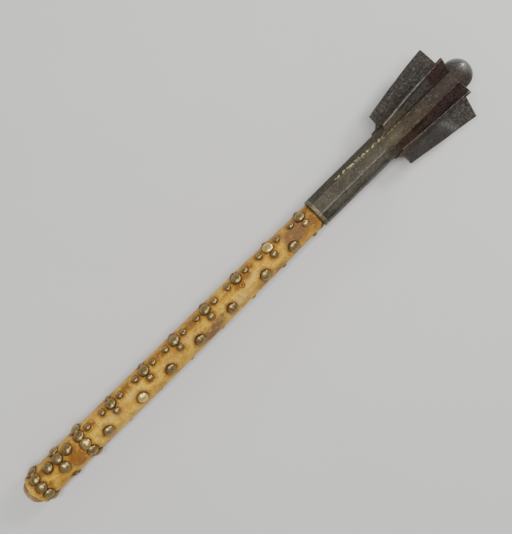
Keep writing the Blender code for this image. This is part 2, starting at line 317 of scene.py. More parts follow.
def onCover(x, angle, stand=0.0):
    return layDown @ aroundPoint(x, float(coverRadius(x)) + stand, angle)


# The tacks stand in two rings, a cross, and rows of rosettes with single tacks between them.
tackSizes = {
    "bigRadius": 0.0059,
    "smallRadius": 0.0038,
    "sink": 0.0004,
    "rimOverlap": 0.0005,
    "smallArm": 0.0122,
    "ringPlaces": (0.0205, 0.0815),
    "ringCount": 10,
    "ringFirst": -7.0,
    "crossPlace": 0.0510,
    "crossFront": 26.0,
    "crossBack": 207.0,
    "crossArm": 0.0131,
    "sideTack": -75.0,
    "rosetteFirst": 0.1265,
    "rosettePitch": 0.0438,
    "rosetteShifts": (0.0, 0.0023, 0.0008, 0.0003, 0.0, 0.0, 0.0),
    "singleShifts": (0.0019, 0.0051, 0.0009, -0.0018, -0.0009, 0.0016, -0.0023),
    "rowFirst": 32.5,
    "rowDrift": 1.5,
    "backRow": -140.0,
    "singleFront": -34.0,
    "singleBack": 150.0,
    "lostRosette": 4,
    "socketGap": 0.007,  # no small tack of the back row stands nearer to the socket
    "dintRadius": 0.0194,
    # which tack of its kind is rubbed bright, and how much
    "bright": {"ring": (0, 0.3), "rosette": (5, 0.8), "small": (6, 0.3), "single": (1, 1.0)},
}


def brightness(kind, k):
    which, share = tackSizes["bright"][kind]
    return share if k == which else 0.0


def touchingAngle(x, first, second):
    reach = first + second - tackSizes["rimOverlap"]
    return reach / float(coverRadius(x) - tackSizes["sink"])


def rowAngle(x):  # the front row drifts round the haft a little
    drift = math.radians(tackSizes["rowDrift"]) / tackSizes["rosettePitch"]
    return math.radians(tackSizes["rowFirst"]) + drift * (x - tackSizes["rosetteFirst"])


def tackPlaces():
    # lists of x, angle and polish, and the place of the one tack that is lost
    sizes = tackSizes
    big, small = [], []
    bigR, smallR, arm = sizes["bigRadius"], sizes["smallRadius"], sizes["smallArm"]
    backRow = math.radians(sizes["backRow"])
    for number, x in enumerate(sizes["ringPlaces"]):
        for k in range(sizes["ringCount"]):
            angle = math.radians(sizes["ringFirst"]) + 2 * math.pi * k / sizes["ringCount"]
            big.append((x, angle, number * brightness("ring", k)))  # the second ring only
    cross = sizes["crossPlace"]
    side = touchingAngle(cross, bigR, bigR)
    for middle in (sizes["crossFront"], sizes["crossBack"]):
        big += [(cross, math.radians(middle) + k * side, 0.0) for k in (-1, 0, 1)]
    for x in (cross - sizes["crossArm"], cross + sizes["crossArm"]):
        big.append((x, math.radians(sizes["crossFront"]), 0.0))
    small.append((cross, math.radians(sizes["sideTack"]), 0.0))

    even = [sizes["rosetteFirst"] + sizes["rosettePitch"] * k for k in range(7)]
    axial = [sizes["ringPlaces"][1] + arm]
    for k, x in enumerate(even):
        front = x + sizes["rosetteShifts"][k]
        side = touchingAngle(front, bigR, smallR)
        big.append((front, rowAngle(front), brightness("rosette", k)))
        small.append((front, rowAngle(front) + side, 0.0))
        if k == sizes["lostRosette"]:
            lost = (front, rowAngle(front) - side)
        else:
            small.append((front, rowAngle(front) - side, brightness("small", k)))
        axial += [front - arm, front + arm]
        big.append((x, backRow, 0.0))
        side = touchingAngle(x, bigR, smallR)
        small += [(x, backRow - side, 0.0), (x, backRow + side, 0.0)]
        single = x - sizes["rosettePitch"] / 2
        shifted = single + sizes["singleShifts"][k]
        big.append((shifted, math.radians(sizes["singleFront"]), brightness("single", k)))
        big.append((single, math.radians(sizes["singleBack"]), 0.0))
    small += [(x, rowAngle(x), 0.0) for x in axial[:-1]]
    around = [place for x in even for place in (x - arm, x + arm)]
    last = haftSizes["mouth"] - sizes["socketGap"]
    small += [(x, backRow, 0.0) for x in around if x < last]
    return big, small, lost


bigTacks, smallTacks, lostTack = tackPlaces()
lostPoint = onCover(*lostTack)
dintPoint = layDown @ aroundPoint(
    tackSizes["ringPlaces"][1], tackSizes["dintRadius"], math.radians(tackSizes["ringFirst"])
)

view = {
    "place": (0.324, 0.0040, 1.0),
    "turn": -44.65,
    "lens": 67.15,
    "sensor": 36.0,
    "clips": (0.05, 20.0),
}
camera = addObject("camera", bpy.data.cameras.new("camera"))
camera.data.sensor_width = view["sensor"]
camera.data.lens = view["lens"]
camera.data.clip_start, camera.data.clip_end = view["clips"]
camera.matrix_world = (
    Matrix.Translation(layDown @ Vector(view["place"]))
    @ layDown.to_3x3().to_4x4()
    @ Matrix.Rotation(math.radians(view["turn"]), 4, "Z")
)
bpy.context.scene.camera = camera
print("stage: camera")

# The haft is of straw-coloured wood and bare at the butt.
woodLook = {
    "centre": (0.0, 0.0006, -0.0186),  # brings the growth rings round the haft's middle
    "stretch": (0.4, 1.0, 1.0),
    "rings": {"Scale": 160.0, "Distortion": 1.6, "Detail": 2.0, "Detail Scale": 1.5},
    # patches: scale, low, high
    "streaks": (220.0, 0.35, 0.7),
    "rubbed": (240.0, 0.35, 0.6),
    "grain": (900.0, 0.2, 0.8),
    "straw": ((0.22, 0.125, 0.036), (0.34, 0.210, 0.068)),
    "line": (0.12, 0.055, 0.012),
    "worn": (0.62, 0.43, 0.27),
    # painted shade: the colour that darkens the haft where it shows in the gap at the socket's
    # mouth, and where the hide starts
    "dirt": (0.075, 0.040, 0.014),
    "roughness": 0.62,
    "bump": (0.0002, 0.7),
}
haftDetail = {
    "endRows": 46,
    "turns": 128,
    "bareLength": 0.024,
    "farRows": (0.04, 0.1, 0.2, 0.3202, 0.37, 0.4, 0.42),
    "growthLines": (0.0075, 0.0108, 0.0132),
    "lineDepth": 0.00022,
    "lineWidth": 0.00028,
    "lineWander": 0.0005,
    # height, scale, seed, stretch
    "uneven": ((0.00035, 90.0, 3.0, 1.0), (0.00008, 420.0, 5.0, 1.0)),
    "sideways": ((0.0007, 60.0, 9.0, 1.0),),
    "rimRadius": 0.0090,
    "rimWidth": 0.0024,
    "poleInset": 0.0002,
}


def woodMaterial():
    look = woodLook
    material, tree, shader, place = newMaterial("bareWood")
    values = {"Vector": place, "Location": look["centre"], "Scale": look["stretch"]}
    centred = addNode(tree, "ShaderNodeMapping", values).outputs[0]
    values = {"Vector": centred, **look["rings"]}
    wave = addNode(tree, "ShaderNodeTexWave", values, wave_type="RINGS", rings_direction="X")
    lines = addMap(tree, wave.outputs[1], 0.25, 0.0)
    colour = addBlend(tree, addPatches(tree, place, *look["streaks"]), *look["straw"])
    colour = addTint(tree, colour, lines, 0.85, look["line"])
    rubbed = addPatches(tree, place, *look["rubbed"])
    colour = addTint(tree, colour, addMark(tree, "rim"), rubbed, look["worn"])
    # painted shade along the haft towards the socket's mouth
    colour = addBlend(tree, addMark(tree, "dirt"), colour, look["dirt"])
    height = addMath(tree, "SUBTRACT", addPatches(tree, centred, *look["grain"]), lines)
    dressShader(tree, shader, colour, look["roughness"], height, look["bump"])
    return material


def makeHaft():
    detail, end = haftDetail, haftSizes["end"]
    turns = detail["turns"]
    near = detail["bareLength"] * (1 - np.cos(np.linspace(0.02, math.pi / 2, detail["endRows"])))
    x = np.concatenate([near, detail["farRows"], [end]])[:, None]
    angle = np.linspace(-math.pi, math.pi, turns, endpoint=False)[None, :]
    radius = haftRadius(x) + 0 * angle
    base = ringPoints(x, radius, angle)
    uneven = relief(base, detail["uneven"])
    inEnd = 1 - rise(x, 0.011, 0.004)
    for line in detail["growthLines"]:
        wander = line + detail["lineWander"] * np.sin(2 * angle + line * 900)
        uneven = uneven - detail["lineDepth"] * hill(radius - wander, detail["lineWidth"])
    radius = radius + uneven * inEnd
    sideways = relief(base, detail["sideways"]) * inEnd
    rings = ringPoints(x + sideways + detail["poleInset"] / 2, radius, angle)
    mesh = turnedMesh("woodHaft", rings, (detail["poleInset"], 0, 0), (end, 0, 0))
    rim = 0.8 * hill(radius - detail["rimRadius"], detail["rimWidth"]) * inEnd
    # painted shade: darker from x 0.1 on, where the haft shows in the gap at the socket's mouth;
    # also darker where the hide starts
    dirt = 0.9 * rise(x, 0.1, 0.2) + 0.7 * hill(x - 0.0105, 0.0022) + 0 * angle
    marks = {  # the two poles come last
        "rim": np.concatenate([rim.ravel(), [0.0, 0.0]]),
        "dirt": np.concatenate([dirt.ravel(), [0.0, 0.9]]),
    }
    keepPiece(mesh, "woodHaft", woodMaterial(), ["haft"], marks)


makeHaft()

hideLook = {
    "stretch": (0.35, 1.0, 1.0),
    "base": (70.0, 0.38, 0.62),
    "tan": ((0.68, 0.35, 0.016), (0.94, 0.60, 0.046)),
    # patches of scale, low, high and roughness, the share of their colour, and the colour
    "paler": (130.0, 0.52, 0.75, 0.6, 0.65, (0.98, 0.70, 0.105)),
    "olive": (340.0, 0.50, 0.66, 0.7, 0.65, (0.46, 0.34, 0.026)),
    "blotches": (210.0, 0.50, 0.66, 0.65, 0.6, (0.38, 0.15, 0.006)),
    "flecks": (560.0, 0.52, 0.66, 0.6, 0.65, (0.46, 0.15, 0.009)),
    "fine": (720.0, 0.42, 0.68, 0.75, 0.5, (0.38, 0.17, 0.012)),
    # painted marks, broken up by patches
    "marks": {
        "stain": (190.0, 0.22, 0.56, 0.65, (0.270, 0.100, 0.006)),
        "bruise": (190.0, 0.22, 0.56, 0.65, (0.20, 0.098, 0.032)),
        "pale": (260.0, 0.2, 0.6, 0.6, (0.78, 0.52, 0.17)),
        # a thin dark ring at each tack's rim and a dark line along the hide's end, painted contact
        # shade and dirt
        "dirt": (500.0, 0.15, 0.5, 0.6, (0.045, 0.024, 0.009)),
    },
    # round the lost tack: from and to a radius, share, colour
    "rustRing": (0.0046, 0.0036, 0.95, (0.15, 0.045, 0.003)),
    "cleanRing": (0.0032, 0.0024, 0.8, (0.55, 0.25, 0.018)),
    "hole": (0.0019, 0.0014, 1.0, (0.05, 0.02, 0.008)),
    "wobble": 0.0012,
    "gloss": (150.0, 0.3, 0.7),
    "roughness": (0.34, 0.58),
    "wrinkles": (300.0, 0.3, 0.75, 0.7),
    "poreScale": 1400.0,
    "bump": (0.0009, 0.9),
}


def hideMaterial():
    look = hideLook
    material, tree, shader, place = newMaterial("rawHide")
    values = {"Vector": place, "Scale": look["stretch"]}
    drawnOut = addNode(tree, "ShaderNodeMapping", values).outputs[0]
    colour = addBlend(tree, addPatches(tree, drawnOut, *look["base"]), *look["tan"])
    masks = {}
    for name in ("paler", "olive", "blotches", "flecks", "fine"):
        *patch, share, tint = look[name]
        masks[name] = addPatches(tree, drawnOut if name == "fine" else place, *patch)
        colour = addTint(tree, colour, masks[name], share, tint)
    for mark, (*patch, tint) in look["marks"].items():
        colour = addTint(tree, colour, addMark(tree, mark), addPatches(tree, place, *patch), tint)

    wobble = addPatches(tree, place, 400.0, 0.2, 0.8)
    reach = addShares(tree, addReach(tree, place, lostPoint), (wobble, look["wobble"]))
    for name in ("rustRing", "cleanRing", "hole"):
        outer, inner, share, tint = look[name]
        masks[name] = addMap(tree, reach, outer, inner)
        colour = addTint(tree, colour, masks[name], share, tint)

    rough = addMap(tree, addPatches(tree, place, *look["gloss"]), 0.0, 1.0, *look["roughness"])
    wrinkles = addPatches(tree, drawnOut, *look["wrinkles"])
    values = {"Vector": place, "Scale": look["poreScale"]}
    pores = addNode(tree, "ShaderNodeTexVoronoi", values).outputs["Distance"]
    dips = ((pores, 0.3), (masks["flecks"], -0.35), (masks["hole"], -3.0))
    dressShader(tree, shader, colour, rough, addShares(tree, wrinkles, *dips), look["bump"])
    shader.inputs["Specular IOR Level"].default_value = 0.35
    shader.inputs["Sheen Weight"].default_value = 0.03
    shader.inputs["Sheen Tint"].default_value = (1.0, 0.80, 0.68, 1.0)
    return material


hideSizes = {
    "rows": 560,
    "turns": 166,
    "innerRows": 14,
    "start": 0.0078,
    "startSway": 0.0028,
    "end": 0.4024,
    "endShort": 0.0034,
    "endNotch": 0.0045,
    "endFlare": 0.0013,
    "lapHeight": 0.0008,
    "lapWidth": math.radians(26),
    "lapAngles": (-112.0, -66.0),  # at the butt and at the mouth
    "creaseHeight": 0.0005,
    "rowStainDrift": 0.6,  # radians for each metre
    # height, scale, seed, stretch
    "startRagged": ((0.0010, 2.2, 11.0, 1.0), (0.0006, 7.0, 2.0, 1.0)),
    "endRagged": ((0.0007, 3.5, 4.0, 1.0), (0.0008, 11.0, 8.0, 1.0)),
    "surface": (
        (0.00028, 38.0, 1.0, 0.5),
        (0.00016, 120.0, 6.0, 0.6),
        (0.00007, 420.0, 7.0, 0.7),
    ),
    # angle, width, height
    "flares": ((-72.0, 18.0, 0.0014), (62.0, 15.0, 0.0009), (-130.0, 20.0, 0.0008)),
    # x, angle, half length, half width, strength
    "stains": (
        (0.066, -25.0, 0.010, 0.010, 2.0),
        (0.134, 14.0, 0.005, 0.003, 0.7),
        (0.158, 24.0, 0.008, 0.004, 0.9),
        (0.176, 15.0, 0.006, 0.004, 0.8),
        (0.029, -20.0, 0.004, 0.003, 1.7),
        (0.202, 45.0, 0.010, 0.004, 0.7),
        (0.247, 40.0, 0.012, 0.004, 0.8),
        (0.291, 50.0, 0.012, 0.004, 0.6),
        (0.335, 40.0, 0.009, 0.005, 0.9),
        (0.378, 25.0, 0.012, 0.006, 0.8),
        (0.394, -10.0, 0.008, 0.010, 1.5),
        (0.311, 17.0, 0.006, 0.0035, 2.0),
        (0.300, 10.0, 0.008, 0.0035, 1.7),
        (0.100, -20.0, 0.006, 0.005, 0.5),
        (0.066, 0.0, 0.008, 0.010, 2.0),
        (0.040, -50.0, 0.006, 0.004, 0.8),
        (0.120, -50.0, 0.006, 0.004, 0.5),
    ),
    "bruises": (
        (0.246, -52.0, 0.014, 0.007, 1.8),
        (0.257, -37.0, 0.011, 0.0055, 1.6),
        (0.267, -25.0, 0.007, 0.0035, 1.1),
        (0.395, -8.0, 0.005, 0.010, 0.7),
        (0.374, 0.0, 0.013, 0.009, 1.9),
        (0.232, -52.0, 0.008, 0.003, 0.6),
        (0.318, -54.0, 0.012, 0.004, 0.9),
        (0.336, -58.0, 0.014, 0.004, 1.0),
    ),
    "palePatches": (
        (0.291, -34.0, 0.014, 0.004, 0.7),
        (0.120, -8.0, 0.012, 0.005, 0.4),
        (0.147, 0.0, 0.010, 0.004, 0.35),
        (0.200, -14.0, 0.010, 0.004, 0.35),
        (0.225, 5.0, 0.012, 0.004, 0.3),
        (0.312, -5.0, 0.014, 0.004, 0.35),
    ),
}


def patchMask(x, angle, radius, rows):
    mask = np.zeros(x.shape)
    for middleX, middleAngle, halfLength, halfWidth, strength in rows:
        along = ((x - middleX) / halfLength) ** 2
        across = (awayFrom(angle, middleAngle) * radius / halfWidth) ** 2
        mask = np.maximum(mask, strength * np.exp(-along - across))
    return mask


def makeHideCover():
    sizes = hideSizes
    turn = np.linspace(-math.pi, math.pi, sizes["turns"], endpoint=False)
    turnPoints = ringPoints(0.0, 1.0, turn)
    start = sizes["start"] + sizes["startSway"] * np.sin(turn) ** 2
    start = start + relief(turnPoints, sizes["startRagged"])
    end = sizes["end"] - sizes["endShort"] * rise(np.abs(turn + 0.2), 1.7, 0.6)
    end = end - sizes["endNotch"] * hill(awayFrom(turn, -66.0), 0.22)
    end = end + relief(turnPoints, sizes["endRagged"])
    end = np.minimum(end, haftSizes["mouth"] - 0.0004)
    x = start + (end - start) * np.linspace(0.0, 1.0, sizes["rows"])[:, None]
    angle = np.broadcast_to(turn, x.shape)
    radius = coverRadius(x)
    base = ringPoints(x, radius, angle)
    toStart, toEnd = x - start, end - x

    lift = relief(base, sizes["surface"])
    lapAngle = np.interp(x, [0.0, haftSizes["mouth"]], np.radians(sizes["lapAngles"]))
    lapAngle = lapAngle + 0.05 * np.sin(x * 70) + 0.02 * np.sin(x * 260)
    pastLap = wrapped(angle - lapAngle)
    lap = rise(pastLap, -0.02, 0.05) * (1 - rise(pastLap, 0.05, sizes["lapWidth"]))
    lift = lift + sizes["lapHeight"] * lap
    lift = lift - 0.0006 * hill(toStart, 0.0008) - 0.0007 * hill(toEnd, 0.0009)  # rounded edges
    for middle, width, height in sizes["flares"]:
        near = hill(awayFrom(angle, middle), math.radians(width))
        lift = lift + height * near * hill(toStart, 0.0030)
    lift = lift + sizes["endFlare"] * hill(awayFrom(angle, -74.0), 0.28) * hill(toEnd, 0.005)
    crease = 0.021 + 0.0075 * (1 - (np.degrees(angle) + 64) / 100)  # the lap near the butt ring
    creaseOn = hill(awayFrom(angle, -15.0), 0.75)
    step = rise(x, crease, 0.0012) * hill(x - crease, 0.006) * creaseOn
    lift = lift + sizes["creaseHeight"] * step

    stain, dirt = np.zeros(x.shape), np.zeros(x.shape)
    for places, size, grime in (
        (bigTacks, tackSizes["bigRadius"], 0.9),
        (smallTacks, tackSizes["smallRadius"], 0.6),
    ):
        for tackX, tackAngle, _ in places:  # the hide is drawn in and stained round each tack
            away = np.hypot(x - tackX, wrapped(angle - tackAngle) * radius)
            gap = np.maximum(away - size, 0.0)
            stain = np.maximum(stain, 1.1 * hill(gap, 0.0032))
            # a thin dark ring at the tack's rim: painted contact shade and dirt
            dirt = np.maximum(dirt, grime * hill(gap, 0.0006))
            lift = lift - 0.00035 * hill(away, size * 1.15)
            lift = lift + 0.00012 * hill(away - size * 1.5, 0.0015)
    away = np.hypot(x - lostTack[0], wrapped(angle - lostTack[1]) * radius)
    lift = lift - 0.0011 * hill(away, 0.0011) + 0.00025 * hill(away - 0.0030, 0.0009)

    drift = sizes["rowStainDrift"] * (x - tackSizes["rosetteFirst"])
    alongRow = awayFrom(angle - drift, tackSizes["rowFirst"])
    alongRow = 1.25 * hill(alongRow * radius, 0.0065)
    alongBack = 0.5 * hill(awayFrom(angle, tackSizes["backRow"]) * radius, 0.007)
    drips = rise(0.5 + 2.2 * noiseOn(base, 85.0, 21.0))
    clouds = rise(1.9 * noiseOn(base, 40.0, 33.0) + 0.10)
    seam = hill(pastLap * radius, 0.0009) * rise(x, 0.05, 0.1)
    marks = {
        "stain": most(
            stain,
            np.maximum(alongRow, alongBack) * drips,
            patchMask(x, angle, radius, sizes["stains"]),
            0.9 * hill(toEnd, 0.006),
            0.6 * clouds,
        ),
        # painted shade: a dark line along the hide's end, in the gap at the socket's mouth
        "dirt": np.maximum(dirt, 0.8 * hill(toEnd, 0.0006)),
        "bruise": most(
            patchMask(x, angle, radius, sizes["bruises"]),
            0.9 * seam,
            0.5 * hill(x - crease, 0.0009) * creaseOn,
        ),
        "pale": np.maximum(
            patchMask(x, angle, radius, sizes["palePatches"]), 0.6 * hill(toStart, 0.0012)
        ),
    }

    outside = ringPoints(x, radius + lift, angle)
    insideX = start + (end - start) * np.linspace(1.0, 0.0, sizes["innerRows"])[:, None]
    inside = ringPoints(insideX, haftRadius(insideX) + 0.0002, angle[0])
    mesh = turnedMesh("hideCover", np.concatenate([outside, inside]), loop=True)
    blank = np.zeros(inside.shape[0] * inside.shape[1])
    marks = {name: np.concatenate([values.ravel(), blank]) for name, values in marks.items()}
    keepPiece(mesh, "hideCover", hideMaterial(), ["hide_cover"], marks)


makeHideCover()

# Forged iron is shared by the head and the flanges.
ironMasks = {  # scale, low, high, roughness
    "cloudy": (70.0, 0.3, 0.7),
    "mottle": (420.0, 0.42, 0.7, 0.7),
    "rust": (160.0, 0.55, 0.72, 0.7),
    "sootEdge": (430.0, 0.34, 0.58, 0.7),
    "black": (470.0, 0.49, 0.56, 0.6),
    "dotted": (240.0, 0.42, 0.60),
    "brazeEdge": (300.0, 0.36, 0.6, 0.7),
    "wearEdge": (380.0, 0.30, 0.58),
    "pits": (850.0, 0.35, 0.75, 0.65),
}
ironTints = {
    "mottle": (0.120, 0.104, 0.078),
    "rust": (0.085, 0.046, 0.026),
    "black": (0.006, 0.004, 0.004),
    "dots": (0.36, 0.33, 0.27),
    "thinBraze": (0.115, 0.076, 0.032),
    "beads": (0.62, 0.52, 0.24),
    # the colour of worn iron, also used as painted light on the socket's lower side facet, the
    # lip's edge and the first flange's inner face
    "worn": (0.33, 0.31, 0.28),
    "polished": (0.145, 0.150, 0.158),
}
# the first mark holds both wear and painted light
ironMarks = ("wear", "braze", "soot", "polish", "smooth")


def ironGroup():
    inputs = {
        "Vector": None,
        **{mark.capitalize(): 0.0 for mark in ironMarks},
        "Speckle": 0.5,
        "Grain": 520.0,
        "Flecks": 1.0,
        "Scale Color": (0.060, 0.035, 0.028, 1.0),
        "Dark": (0.045, 0.038, 0.030, 1.0),
        "Light": (0.130, 0.118, 0.096, 1.0),
    }
    number = "NodeSocketFloat"
    outputs = {"Color": "NodeSocketColor", "Roughness": number, "Height": number}
    tree, ask, result = shaderGroup("forgedIron", inputs, outputs)
    tints = ironTints
    masks = {name: addPatches(tree, ask["Vector"], *row) for name, row in ironMasks.items()}

    colour = addBlend(tree, masks["cloudy"], ask["Dark"], ask["Light"])
    rougher = addMath(tree, "SUBTRACT", 1.0, ask["Smooth"])
    mottle = addTimes(tree, masks["mottle"], rougher)
    colour = addTint(tree, colour, mottle, 0.5, tints["mottle"])
    colour = addTint(tree, colour, masks["rust"], 0.5, tints["rust"])

    soot = addTimes(tree, ask["Soot"], masks["sootEdge"], clamp=True)
    colour = addBlend(tree, soot, colour, ask["Scale Color"])
    black = addTimes(tree, soot, masks["black"])
    colour = addTint(tree, colour, black, ask["Flecks"], tints["black"])

    values = {"Vector": ask["Vector"], "Scale": ask["Grain"]}
    grains = addNode(tree, "ShaderNodeTexVoronoi", values).outputs["Distance"]
    dots = addTimes(tree, addMap(tree, grains, 0.26, 0.12), masks["dotted"])
    dots = addTimes(tree, dots, ask["Speckle"], clamp=True)
    clear = addMath(tree, "SUBTRACT", 1.0, addTimes(tree, soot, 0.7))
    dots = addTimes(tree, dots, addTimes(tree, clear, rougher))
    colour = addBlend(tree, dots, colour, tints["dots"])

    braze = addTimes(tree, ask["Braze"], masks["brazeEdge"], clamp=True)
    thick = addMap(tree, ask["Braze"], 0.45, 1.0)
    brazing = addBlend(tree, thick, tints["thinBraze"], tints["beads"])
    colour = addBlend(tree, braze, colour, brazing)
    # worn edges and spots, and painted light on some faces, in the worn colour
    wear = addTimes(tree, ask["Wear"], masks["wearEdge"], clamp=True)
    colour = addBlend(tree, wear, colour, tints["worn"])
    colour = addTint(tree, colour, ask["Polish"], 0.65, tints["polished"])

    rough = addMap(tree, mottle, 0.0, 1.0, 0.56, 0.44)
    rough = addShares(tree, rough, (wear, -0.12), (ask["Polish"], -0.33), (soot, 0.2))
    pits = addTimes(tree, masks["pits"], rougher)
    height = addShares(tree, mottle, (pits, 0.6), (soot, -0.5), (dots, 0.6))
    even = addMath(tree, "SUBTRACT", 1.0, addTimes(tree, ask["Polish"], 0.85))
    height = addTimes(tree, height, even)
    for label, socket in (("Color", colour), ("Roughness", rough), ("Height", height)):
        tree.links.new(socket, result.inputs[label])
    return tree


forgedIron = ironGroup()


def ironMaterial(name, values):
    material, tree, shader, place = newMaterial(name)
    marks = {mark.capitalize(): addMark(tree, mark) for mark in ironMarks}
    values = {"Vector": place, **marks, **values}
    iron = addNode(tree, "ShaderNodeGroup", values, node_tree=forgedIron).outputs
    dressShader(tree, shader, iron["Color"], iron["Roughness"], iron["Height"], (0.00022, 0.8))
    shader.inputs["Metallic"].default_value = 0.65
    return material


headSizes = {
    "turns": 176,
    "mouth": 0.4032,
    "bore": 0.0121,
    "boreEnd": 0.5832,
    "flat": 0.0154,
    "cornerAngle": -14.5,
    "cornerStart": 17.5,  # degrees past the middle of a facet
    "cornerRounding": 0.00035,
    "lipEnd": 0.4072,
    "lipHeight": 0.00022,
    "grooveDepth": 0.00018,
    "mouthRounding": (0.0005, 0.0006),  # depth, length
    "roundStart": 0.4932,  # where the octagon turns into the round core, and over what length
    "roundLength": 0.006,
    "coreRadius": 0.0161,
    "domeStart": 0.6030,
    "domeRows": 44,
    # height, scale, seed, stretch
    "hammered": (
        (0.00016, 55.0, 2.0, 1.0),
        (0.00008, 190.0, 4.0, 1.0),
        (0.00004, 600.0, 6.0, 1.0),
    ),
    "seamPlaces": (0.430, 0.499),
    "seamAngles": (44.0, 30.0),
    "seamWidth": 0.0015,
    "seamHeight": 0.00050,
    "seamDip": 0.00012,
}
headLook = {
    "Speckle": 0.6,
    "Flecks": 0.3,
    "Scale Color": (0.048, 0.034, 0.028, 1.0),
    "Dark": (0.034, 0.030, 0.019, 1.0),
    "Light": (0.066, 0.060, 0.036, 1.0),
}


def makeHead():
    sizes = headSizes
    turns, mouth, core = sizes["turns"], sizes["mouth"], sizes["coreRadius"]
    angle = np.linspace(-math.pi, math.pi, turns, endpoint=False)[None, :]
    straight = mouth + np.concatenate([  # rows lie closest at the mouth and the lip
        np.linspace(0.0, 0.0006, 3),
        np.linspace(0.0008, 0.0056, 25),
        np.linspace(0.0060, sizes["domeStart"] - mouth - 0.0004, 400),
    ])
    domeTurn = np.linspace(0.0, math.pi / 2 * 0.985, sizes["domeRows"])
    x = np.concatenate([straight, sizes["domeStart"] + core * np.sin(domeTurn)])[:, None]
    coreRadii = np.concatenate([np.full(len(straight), core), core * np.cos(domeTurn)])[:, None]

    past = (angle - math.radians(sizes["cornerAngle"])) % (math.pi / 4) - math.pi / 8
    pastDegrees = np.abs(np.degrees(past))
    octagon = sizes["flat"] / np.cos(past)
    octagon = octagon - sizes["cornerRounding"] * rise(pastDegrees, sizes["cornerStart"], 5.0)
    toRound = rise(x, sizes["roundStart"], sizes["roundLength"])
    radius = octagon * (1 - toRound) + coreRadii * toRound
    lip = rise(sizes["lipEnd"] - x, 0.0, 0.0003)
    groove = hill(x - sizes["lipEnd"] - 0.0004, 0.0004)
    radius = radius + sizes["lipHeight"] * lip - sizes["grooveDepth"] * groove
    depth, length = sizes["mouthRounding"]
    radius = radius - depth * rise(mouth + length - x, 0.0, length)
    base = ringPoints(x, radius, angle)
    onDome = rise(x - sizes["domeStart"] + 0.0015 + 0.4 * radius * np.sin(angle), 0.0, 0.0145)
    radius = radius + relief(base, sizes["hammered"]) * (1 - 0.6 * onDome)

    seamAngle = np.radians(np.interp(x, sizes["seamPlaces"], sizes["seamAngles"]))
    fromSeam = wrapped(angle - seamAngle) * radius + 0.0006 * noiseOn(base, 170.0, 12.0)
    seamOn = rise(x, 0.438, 0.006) * (1 - rise(x, 0.500, 0.004))
    beads = rise(0.55 + 1.6 * noiseOn(base, 300.0, 14.0))
    seam = seamOn * hill(fromSeam, sizes["seamWidth"]) * (0.15 + beads)
    radius = radius + sizes["seamHeight"] * seam
    radius = radius - sizes["seamDip"] * hill(fromSeam - 0.0014, 0.0006) * seamOn

    onSocket = 1 - toRound
    # painted light: the side facet below the lower arris is lightened in the worn colour, standing
    # in for light that falls on it
    rubbed = hill(awayFrom(angle, -30.0), math.radians(13)) * onSocket * rise(x, 0.409, 0.01)
    spill = rise(x, 0.497, 0.006) * (1 - rise(x, 0.535, 0.030))
    soot = most(
        0.35 * hill(x - 0.503, 0.005),
        0.4 * groove,
        0.35 * rise(1.4 * noiseOn(base, 60.0, 18.0) - 0.1),
        1.15 * rise(x, 0.506, 0.03),
    )
    marks = {
        "wear": most(
            0.3 * rise(pastDegrees, sizes["cornerStart"], 4.5) * onSocket,
            0.20 * rubbed,
            # painted highlight: a bright line along the lip's edge
            0.6 * hill(x - sizes["lipEnd"] + 0.0002, 0.0004),
        ),
        "braze": most(np.minimum(2.0 * seam, 1.3), 0.32 * spill, 0.62 * lip),
        "soot": soot * (1 - onDome),
        "polish": onDome,
    }

    bore = np.array([sizes["boreEnd"], 0.5, 0.42, mouth])[:, None]
    boreRings = ringPoints(bore, sizes["bore"], angle)
    rings = np.concatenate([boreRings, ringPoints(x, radius, angle)])
    tip = (sizes["domeStart"] + core, 0, 0)
    mesh = turnedMesh("maceHead", rings, firstPole=(sizes["boreEnd"], 0, 0), lastPole=tip)
    blank = np.zeros(boreRings.shape[0] * turns)
    for name, values in marks.items():  # bore, outside and the two poles
        full = np.broadcast_to(values, radius.shape).ravel()
        marks[name] = np.concatenate([blank, full, [0.0, 1.0 if name == "polish" else 0.0]])
    material = ironMaterial("headIron", headLook)
    keepPiece(mesh, "maceHead", material, ["mace_head"], marks)


makeHead()

flangeSizes = {
    "firstAngle": 30.0,
    "thickness": 0.0028,
    "toe": 0.4995,
    "rear": 0.5084,
    "front": 0.5917,
    "rootEnd": 0.5965,
    "root": 0.0152,  # inside the core, where the brazing hides it
    "toeRadius": 0.0174,
    "scoopRadius": 0.0239,
    "rearRadius": 0.0316,
    "frontRadius": 0.0439,
    "rearShifts": (0.0009, 0.0021, 0.0, 0.0, -0.0009, -0.0021),
    "frontShifts": (0.0017, 0.0028, 0.0, 0.0, -0.0037, -0.0007),
    "bows": (0.0003, 0.0010, 0.0002, -0.0002, 0.0002, 0.0004),
    "cut": 0.00022,
    "voxel": 0.00045,
    "fillet": 0.0019,
    "filletRows": 60,
    # height, scale, seed, stretch
    "dents": ((0.00010, 70.0, 0.0, 1.0), (0.00005, 260.0, 1.0, 1.0)),
    "lean": 0.0006,
}
flangeLook = {
    "Speckle": 0.38,
    "Grain": 900.0,
    "Scale Color": (0.112, 0.060, 0.049, 1.0),
    "Dark": (0.0076, 0.0058, 0.0048, 1.0),
    "Light": (0.0175, 0.0142, 0.0118, 1.0),
}


def roundedCorner(before, corner, after, radius, steps=4):
    before, corner, after = (Vector(point) for point in (before, corner, after))
    first = corner + (before - corner).normalized() * radius
    last = corner + (after - corner).normalized() * radius
    shares = [k / steps for k in range(steps + 1)]
    return [first.lerp(corner, share).lerp(corner.lerp(last, share), share) for share in shares]


